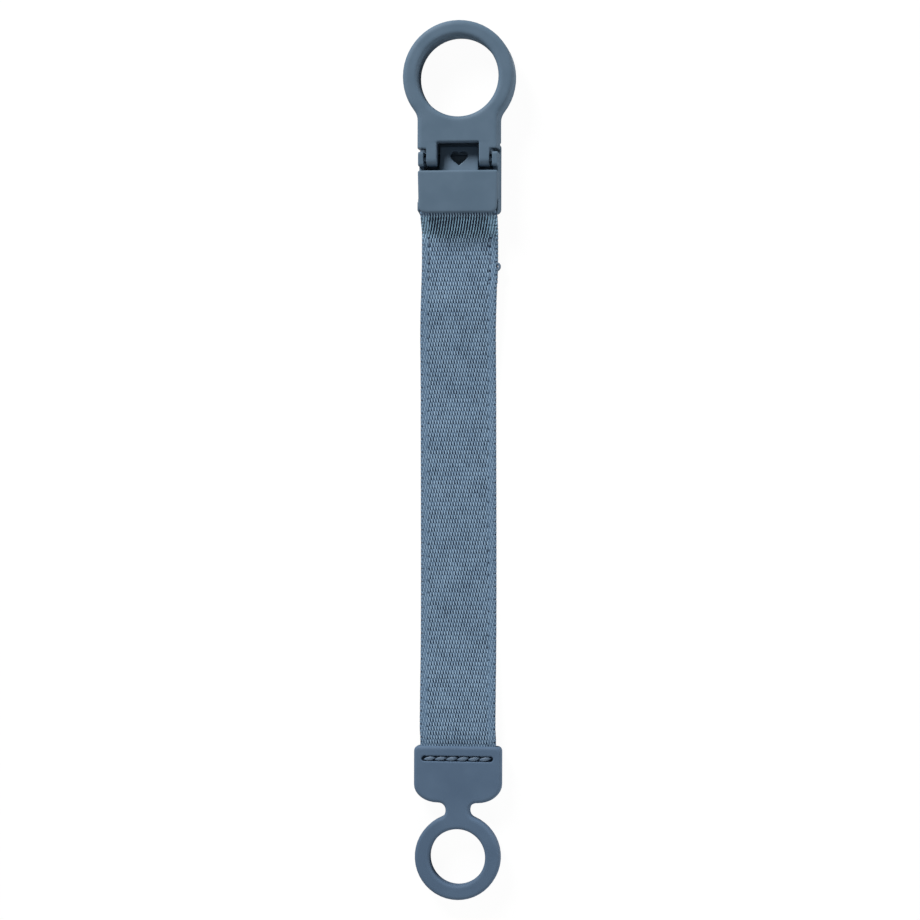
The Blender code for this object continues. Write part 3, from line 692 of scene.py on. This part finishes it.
def bow(y):
    """How far the strap lies left of a straight line, in a slight bow from clip to tab."""
    below_clip = smooth_share(-y, -BOW_TOP, -BOW_PEAK)
    easing = 1 - BOW_EASING * smooth_share(-y, -BOW_PEAK, -LAID_BOTTOM)
    return -BOW * below_clip * easing * smooth_share(y, TAB_TOP, TAB_TOP + BOW_END)


def needle_dimples(across, along):
    """1 where the upper seams draw the cloth in and 0 elsewhere."""
    marks = [front_mark(SEAM_START - SEAM_PITCH * i) for i in range(SEAM_HOLES)]
    away = np.min([np.abs(along - mark) for mark in marks], axis=0)
    return np.exp(-(((np.abs(across) - SEAM_X) ** 2 + away**2) / DIMPLE_SIZE**2))


slope = [round(front_mark(y) / MM, 1) for y in (SEWN_TOP, OPEN_TOP)]
print(f"slope from {slope[0]} to {slope[1]} mm along, {2 * SEAM_HOLES} needle holes")

# %% Relief of the webbing
WEAVE_DEPTH = 0.14 * MM
OPEN_DEPTH = 0.34 * MM
SELVEDGE_INNER = 7.1 * MM
SELVEDGE_OUTER = 7.7 * MM
SELVEDGE_DEPTH = 0.35
EDGE_ROUND = 0.45 * MM
EDGE_SWELL = 0.10 * MM
NICK = 0.13 * MM
BINDER_DEPTH = 0.16 * MM
DIMPLE_DEPTH = 0.24 * MM


def edge_share(across):
    """How much of the thickness is left towards the rounded edge."""
    past = np.clip((np.abs(across) - RIBBON_WIDTH / 2 + EDGE_ROUND) / EDGE_ROUND, 0, 1)
    return np.sqrt(np.clip(1 - past * past, 0, 1))


def webbing_offset(across, along):
    """From the middle of the webbing to its face, with the relief of the weave."""
    opened = bent_open(along)
    selvedge = smooth_share(np.abs(across), SELVEDGE_INNER, SELVEDGE_OUTER)
    depth = WEAVE_DEPTH + (OPEN_DEPTH - WEAVE_DEPTH) * opened
    lane = lanes(across, along, opened)[1]
    sunk = depth * (1 - (1 - SELVEDGE_DEPTH) * selvedge) * wave(lane, 1.0)
    sunk += BINDER_DEPTH * binder_dots(across, along)
    sunk += DIMPLE_DEPTH * needle_dimples(across, along)
    return (RIBBON_THICKNESS / 2 - sunk) * edge_share(across)


def nicked(across, along):
    """Places across the webbing, with the edges drawn in at every nick."""
    swell = EDGE_SWELL * across / (RIBBON_WIDTH / 2)
    return across + swell - np.sign(across) * NICK * edge_nicks(across, along)


print(f"gaps {WEAVE_DEPTH / MM:.2f} mm deep, {OPEN_DEPTH / MM:.2f} mm where bent open")

# %% Webbing mesh
OUTER_COLUMNS = 140
INNER_COLUMNS = 30


def webbing_points():
    """Every point of the webbing: its place, its place on the cloth, its share of a hole."""
    edge = RIBBON_WIDTH / 2
    front = np.linspace(-edge, edge, OUTER_COLUMNS + 1)
    back = np.linspace(edge, -edge, INNER_COLUMNS + 1)[1:-1]
    across = np.tile(np.concatenate([front, back]), (len(along), 1))
    face = np.concatenate([np.ones(len(front)), -np.ones(len(back))])
    reach = np.tile(along[:, None], (1, across.shape[1]))
    away = webbing_offset(across, reach) * face
    x = nicked(across, reach) + bow(spots[:, :1])
    y = spots[:, :1] + outer[:, :1] * away
    z = spots[:, 1:] + outer[:, 1:] * away
    cloth = np.stack([across / MM, reach / MM, bent_open(reach)], axis=-1)
    return np.stack([x, y, z], axis=-1), cloth, needle_dimples(across, reach)


def tube_faces(rows, loop):
    """The faces of a tube of rows with loop points each, closed at both ends."""
    first = np.arange(rows * loop).reshape(rows, loop)
    beside = np.roll(first, -1, axis=1)
    quads = np.stack([first[:-1], beside[:-1], beside[1:], first[1:]], axis=-1).reshape(-1, 4)
    return quads.tolist() + [first[0, ::-1].tolist(), first[-1].tolist()]


def webbing_mesh():
    """The closed mesh, with the place on the cloth in mm and the needle holes as attributes."""
    points, cloth, pierced = webbing_points()
    mesh = bpy.data.meshes.new("webbing")
    mesh.from_pydata(points.reshape(-1, 3).tolist(), [], tube_faces(*points.shape[:2]))
    place = mesh.attributes.new("cloth_place", "FLOAT_VECTOR", "POINT")
    place.data.foreach_set("vector", cloth.reshape(-1).astype(np.float32))
    needled = mesh.attributes.new("needle_hole", "FLOAT", "POINT")
    needled.data.foreach_set("value", pierced.reshape(-1).astype(np.float32))
    mesh.shade_smooth()
    mesh.update()
    return mesh


ribbon = bpy.data.objects.new("woven_ribbon", webbing_mesh())
print(f"woven_ribbon: {len(ribbon.data.polygons)} faces")

# %% [markdown]
# ## The webbing's finish
#
# The colour comes from the same formulas as the relief. A tiled picture of cloth would be quicker,
# but it repeats, and it can't know where the strap is bent. The gaps are painted nearly black, a
# painted shade for the shadow between yarns, and the crowns are painted pale, a painted highlight
# where the filaments shine. Both go further where the cloth is bent open. Fine fibres run along each
# float. Noise in three sizes and a random share for each gap make every float a little different
# from the next, as on any woven tape. The wires that the masks share come first, then the masks,
# then the colours that they mix.

# %% Wires on the cloth
UNEVEN = (1.3, 1.0)
MOTTLE = (3.5, 2.0)
DRIFT = (0.16, 2.0)
FIBRES = (1.0, 3.0)
FIBRE_STRETCH = (14.0, 2.4, 1.0)
SHUT_OPENED = 0.75


def cloth_wires(start):
    """Where a point is on the cloth and in the weave, and the noise there, as named wires."""
    on = SimpleNamespace()
    cloth = start.node("ShaderNodeAttribute", {"attribute_name": "cloth_place"}, out="Vector")
    parts = [start.node("ShaderNodeSeparateXYZ", sockets={0: cloth}, out=axis) for axis in "XYZ"]
    on.across = parts[0] * MM
    on.reach = parts[1] * MM
    on.opened = parts[2]
    on.inside = 1 - step_up(abs(parts[0]), SELVEDGE_INNER / MM, SELVEDGE_OUTER / MM)
    on.uneven = noise(cloth, *UNEVEN) - NOISE_MIDDLE
    on.mottle = noise(cloth, *MOTTLE) - NOISE_MIDDLE
    on.drift = noise(cloth, *DRIFT) - NOISE_MIDDLE
    row, lane = lanes(on.across, on.reach, on.opened)
    on.valley = wave(lane, 1.0)
    nearest = whole(lane + 0.5)
    gap_number = start.node("ShaderNodeCombineXYZ", sockets={"X": nearest, "Y": row})
    dice = start.node("ShaderNodeTexWhiteNoise", {"noise_dimensions": "2D"}, {"Vector": gap_number})
    on.lot = dice - NOISE_MIDDLE
    on.flat = 1 - on.opened
    on.shut = closings(on.reach) * (1 - on.opened * SHUT_OPENED)
    scaling = {0: cloth, 1: FIBRE_STRETCH}
    stretched = start.node("ShaderNodeVectorMath", {"operation": "MULTIPLY"}, scaling)
    on.fibre = noise(stretched, *FIBRES)
    on.hole = start.node("ShaderNodeAttribute", {"attribute_name": "needle_hole"}, out="Fac")
    return on


cloud_sizes = [round(1 / scale, 1) for scale, _ in (UNEVEN, MOTTLE, DRIFT)]
print("clouds of noise on the cloth, in mm:", cloud_sizes)

# %% Masks of the weave, painted shade and painted highlights
GAP_DIVE = 0.40
GAP_SHUT = 0.60
GAP_UNEVEN = 0.5
GAP_LOT = 0.44
GAP_DRIFT = 0.4
GAP_OPENED = 0.48
GAP_RANGE = (0.46, 0.96)
GAP_SELVEDGE = 0.14
CROWN_SHUT = 0.30
CROWN_UNEVEN = 0.5
CROWN_MOTTLE = 0.5
CROWN_DRIFT = 0.3
CROWN_OPENED = 0.26
CROWN_RANGE = (0.40, 1.0)
CROWN_SELVEDGE = 0.80
# Strengths of the painted shade in the edge nicks, the binder dimples and the needle holes.
NICK_SHADE = 2.0
BINDER_SHADE = 0.75
BINDER_UNEVEN = 1.5
HOLE_UNEVEN = 0.8
HOLE_RANGE = (0.35, 0.85)
HOLE_SHADE = 0.9


def gaps(on):
    """Painted shade: 1 in the gaps between floats, where shade falls between yarns, faint in the
    selvedge, and 0 on the floats.
    """
    ends = dives(on.reach) * on.flat * GAP_DIVE - on.shut * GAP_SHUT
    parted = on.valley * (1 + ends) + on.uneven * GAP_UNEVEN + on.lot * on.flat * GAP_LOT
    parted = parted + on.drift * GAP_DRIFT + on.opened * GAP_OPENED
    return step_up(parted, *GAP_RANGE) * (GAP_SELVEDGE + (1 - GAP_SELVEDGE) * on.inside)


def crowns(on):
    """Painted highlight: 1 on the shining crowns of the floats, and 0 low on their sides."""
    raised = (1 - on.valley) * (1 - CROWN_SHUT * on.shut) - on.uneven * CROWN_UNEVEN
    raised = raised + on.mottle * CROWN_MOTTLE - on.drift * CROWN_DRIFT + on.opened * CROWN_OPENED
    return step_up(raised, *CROWN_RANGE) * (CROWN_SELVEDGE + (1 - CROWN_SELVEDGE) * on.inside)


def pulls(on):
    """Painted shade: above 0 in the nicks where the weft draws the edge in and in the dimples of the
    binding thread.
    """
    nicks = edge_nicks(on.across, on.reach) * NICK_SHADE
    return nicks + binder_dots(on.across, on.reach) * (BINDER_SHADE + on.uneven * BINDER_UNEVEN)


def holes(on):
    """Painted shade: above 0 in the holes of the needle."""
    return step_up(on.hole + on.uneven * HOLE_UNEVEN, *HOLE_RANGE) * HOLE_SHADE


print(f"selvedge: gaps {GAP_SELVEDGE:.0%} as dark, crowns {CROWN_SELVEDGE:.0%} as pale")

# %% Finish: webbing
# The crown and sheen colours are painted highlights where the filaments shine, and the gap and
# hollow colours are painted shade between the yarns.
WEBBING_FLOAT = (0.095, 0.162, 0.252)
WEBBING_CROWN_HIGHLIGHT = (0.312, 0.448, 0.586)
WEBBING_SHEEN = (0.460, 0.760, 0.980)
WEBBING_GAP_SHADE = (0.006, 0.018, 0.042)
WEBBING_HOLLOW_SHADE = (0.000, 0.004, 0.020)
WEBBING_ROUGH = 0.70
WEBBING_FIBRE_SWAY = 0.2
WEBBING_SPECULAR = 0.20
WEBBING_BUMP = 0.10 * MM
BUMP_DARK = 0.7
BUMP_VALLEY = 0.2
BUMP_FIBRE = 0.2


def webbing_finish():
    """Woven tape whose painted shade in the gaps, painted highlights on the crowns and fibres follow
    the formulas of the weave.
    """
    material, start = new_finish("woven_webbing")
    on = cloth_wires(start)
    # The dark mask is painted shade in the gaps, nicks, dimples and needle holes.
    dark = at_most_one(gaps(on) + pulls(on) + holes(on))
    # shine and the crown share are a painted highlight on the floats.
    shine = between(on.opened, WEBBING_CROWN_HIGHLIGHT, WEBBING_SHEEN)
    yarn_with_highlight = between(crowns(on) * (NOISE_MIDDLE + on.fibre), WEBBING_FLOAT, shine)
    # The gap colours mixed in here are painted shade between the yarns.
    depth = between(on.opened, WEBBING_GAP_SHADE, WEBBING_HOLLOW_SHADE)
    height = (1 - dark) * BUMP_DARK + (1 - on.valley) * BUMP_VALLEY + on.fibre * BUMP_FIBRE
    sockets = {"Base Color": between(dark, yarn_with_highlight, depth)}
    sockets["Roughness"] = WEBBING_ROUGH + sway(on.fibre, WEBBING_FIBRE_SWAY)
    sockets["Normal"] = bumped(height, WEBBING_BUMP)
    sockets["Specular IOR Level"] = WEBBING_SPECULAR
    return dress(material, sockets)


ribbon.data.materials.append(webbing_finish())
settle(ribbon, "webbing", "ribbon")

# %% [markdown]
# ## Sewing thread
#
# A sewing thread is three plies twisted together, so its outline is a three-lobed section that
# turns as it runs. A curve with a bevel would give a smooth wire. Here the tube is swept, and the
# twist is real.

# %% Finish: thread
THREAD_DEEP = (0.062, 0.100, 0.152)
THREAD_PALE = (0.135, 0.195, 0.272)
THREAD_ROUGH = 0.5
THREAD_SPECULAR = 0.3
THREAD_FIBRES = 6000.0
THREAD_FIBRE_SWAY = 0.3
THREAD_FIBRE_DEPTH = 0.02 * MM


def thread_finish():
    """Twisted polyester thread."""
    material, start = new_finish("sewing_thread")
    spot = start.node("ShaderNodeTexCoord", out="Object")
    fibre = noise(spot, THREAD_FIBRES, FINE_DETAIL)
    sockets = {"Base Color": between(step_up(fibre, *NOISE_RANGE), THREAD_DEEP, THREAD_PALE)}
    sockets["Roughness"] = THREAD_ROUGH + sway(fibre, THREAD_FIBRE_SWAY)
    sockets["Normal"] = bumped(fibre, THREAD_FIBRE_DEPTH)
    sockets["Specular IOR Level"] = THREAD_SPECULAR
    return dress(material, sockets)


thread = thread_finish()

# %% Functions: a swept thread
THREAD_SIDES = 12
THREAD_PLIES = 3
PLY_DEPTH = 0.16
CORNER_CUT = 0.25
CORNER_ROUNDS = 3


def rounded_path(points):
    """A path whose corners are cut again and again, so that it bends as thread does."""
    path = np.array(points, float)
    for _ in range(CORNER_ROUNDS):
        near = path[:-1] * (1 - CORNER_CUT) + path[1:] * CORNER_CUT
        far = path[:-1] * CORNER_CUT + path[1:] * (1 - CORNER_CUT)
        cut = np.stack([near, far], axis=1).reshape(-1, 3)
        path = np.vstack([path[:1], cut, path[-1:]])
    return path


def tube(path, half_width, half_height, up, twist):
    """Points and faces of a closed twisted tube along a path, which never runs along up."""
    run = directions(path)
    side = np.cross(run, up)
    side /= np.linalg.norm(side, axis=1)[:, None]
    rise = np.cross(side, run)
    angle = np.linspace(0, FULL_TURN, THREAD_SIDES, endpoint=False)
    turned = angle + FULL_TURN * distances(path)[:, None] / twist
    lobes = 1 - PLY_DEPTH * wave(turned, FULL_TURN / THREAD_PLIES)
    flat = (np.cos(angle) * lobes * half_width[:, None])[..., None] * side[:, None]
    tall = (np.sin(angle) * lobes * half_height[:, None])[..., None] * rise[:, None]
    points = path[:, None] + flat + tall
    return points.reshape(-1, 3), tube_faces(*points.shape[:2])


def sewn(name, tubes, node):
    """One piece made of one or more thread tubes, in the place of a node."""
    points = np.vstack([found for found, _ in tubes])
    faces = []
    start = 0
    for found, tube_part in tubes:
        faces += [[corner + start for corner in face] for face in tube_part]
        start += len(found)
    mesh = bpy.data.meshes.new(name)
    mesh.from_pydata(points.tolist(), [], faces)
    mesh.materials.append(thread)
    mesh.shade_smooth()
    settle(bpy.data.objects.new(name, mesh), "thread", node)
    print(f"{name}: {len(faces)} faces")


print(f"thread of {THREAD_PLIES} plies, {THREAD_SIDES} sides")

# %% [markdown]
# ## The seams
#
# Two rows of stitches hold the tail to the strap below the clip. Each thread goes over and under
# through both layers and is pulled down into the cloth. On the right a slack loop of it stands out
# at the edge. Across the silicone tab runs one bold row on each face, whose slanted stitches swell
# in the middle and dive at their ends. An Array modifier could repeat one stitch, but a loop in
# Python spaces the upper ones by the same numbers as the needle holes in the cloth.

# %% Upper seams
SEAM_RADIUS = 0.20 * MM
SEAM_SINK = 0.10 * MM
SEAM_TWIST = 1.1 * MM
STRAY_HOLE = 3
STRAY_RADIUS = 0.36 * MM
STRAY_ROOT = 0.3 * MM
STRAY_OUT = 0.58 * MM
STRAY_TALL = 2.0 * MM
STRAY_SHOULDERS = (0.2, 0.7)


def upper_seam_path(side):
    """The thread's way through both layers of webbing, hole by hole."""
    over = SEWN_MIDDLE + RIBBON_THICKNESS / 2 - SEAM_SINK
    under = TAIL_MIDDLE - RIBBON_THICKNESS / 2 + SEAM_SINK
    path = []
    for i in range(SEAM_HOLES):
        y = SEAM_START - SEAM_PITCH * i
        levels = (under, over) if i % 2 == 0 else (over, under)
        path += [(side * SEAM_X, y, level) for level in levels]
    return rounded_path(path)


def stray_loop():
    """A slack loop of the right-hand thread that stands out at the edge of the strap."""
    y = SEAM_START - STRAY_HOLE * SEAM_PITCH
    edge = RIBBON_WIDTH / 2
    sunk = SEWN_MIDDLE + RIBBON_THICKNESS / 2 - STRAY_RADIUS
    path = [(SEAM_X, y, sunk), (edge - STRAY_ROOT, y, sunk)]
    path += [(edge + STRAY_OUT, y - share * STRAY_TALL, sunk) for share in STRAY_SHOULDERS]
    path.append((edge - STRAY_ROOT, y - STRAY_TALL, SEWN_MIDDLE))
    return rounded_path(path)


def thread_tube(path, radius, up):
    """A round thread along a path."""
    size = np.full(len(path), radius)
    return tube(path, size, size, up, SEAM_TWIST)


left_tubes = [thread_tube(upper_seam_path(-1), SEAM_RADIUS, RIGHTWARD)]
right_tubes = [thread_tube(upper_seam_path(1), SEAM_RADIUS, RIGHTWARD)]
right_tubes.append(thread_tube(stray_loop(), STRAY_RADIUS, UPWARD))
sewn("thread_upper_left", left_tubes, "upper_seam_left")
sewn("thread_upper_right", right_tubes, "upper_seam_right")

# %% Lower seams
STITCHES = 6
STITCH_PITCH = 2.8 * MM
STITCH_OVERLAP = 0.22 * MM
STITCH_Y = -74.55 * MM
STITCH_SLANT = 0.30 * MM
STITCH_LEVEL = 1.88 * MM
STITCH_DIP = 0.45 * MM
STITCH_HALF_WIDTH = 0.54 * MM
STITCH_HALF_HEIGHT = 0.28 * MM
STITCH_NECK = 0.16
STITCH_TWIST = 2.6 * MM
STITCH_POINTS = 25


def lower_stitch(start, face):
    """One slanted stitch, a leaf that swells in the middle and dives at both points."""
    share = np.linspace(0, 1, STITCH_POINTS)
    swell = np.sin(math.pi * share)
    path = np.empty((STITCH_POINTS, 3))
    path[:, 0] = start - STITCH_OVERLAP + (STITCH_PITCH + 2 * STITCH_OVERLAP) * share
    path[:, 1] = STITCH_Y + STITCH_SLANT * (2 * share - 1)
    path[:, 2] = POCKET_MIDDLE + face * (STITCH_LEVEL - STITCH_DIP * (1 - swell) ** 2)
    plump = STITCH_NECK + (1 - STITCH_NECK) * swell
    width, height = STITCH_HALF_WIDTH * plump, STITCH_HALF_HEIGHT * plump
    return tube(path, width, height, UPWARD * face, STITCH_TWIST)


stitch_starts = [STITCH_PITCH * (i - STITCHES / 2) for i in range(STITCHES)]
for face, label in ((1, "front"), (-1, "back")):
    stitches = [lower_stitch(start, face) for start in stitch_starts]
    sewn(f"thread_lower_{label}", stitches, f"lower_seam_{label}")
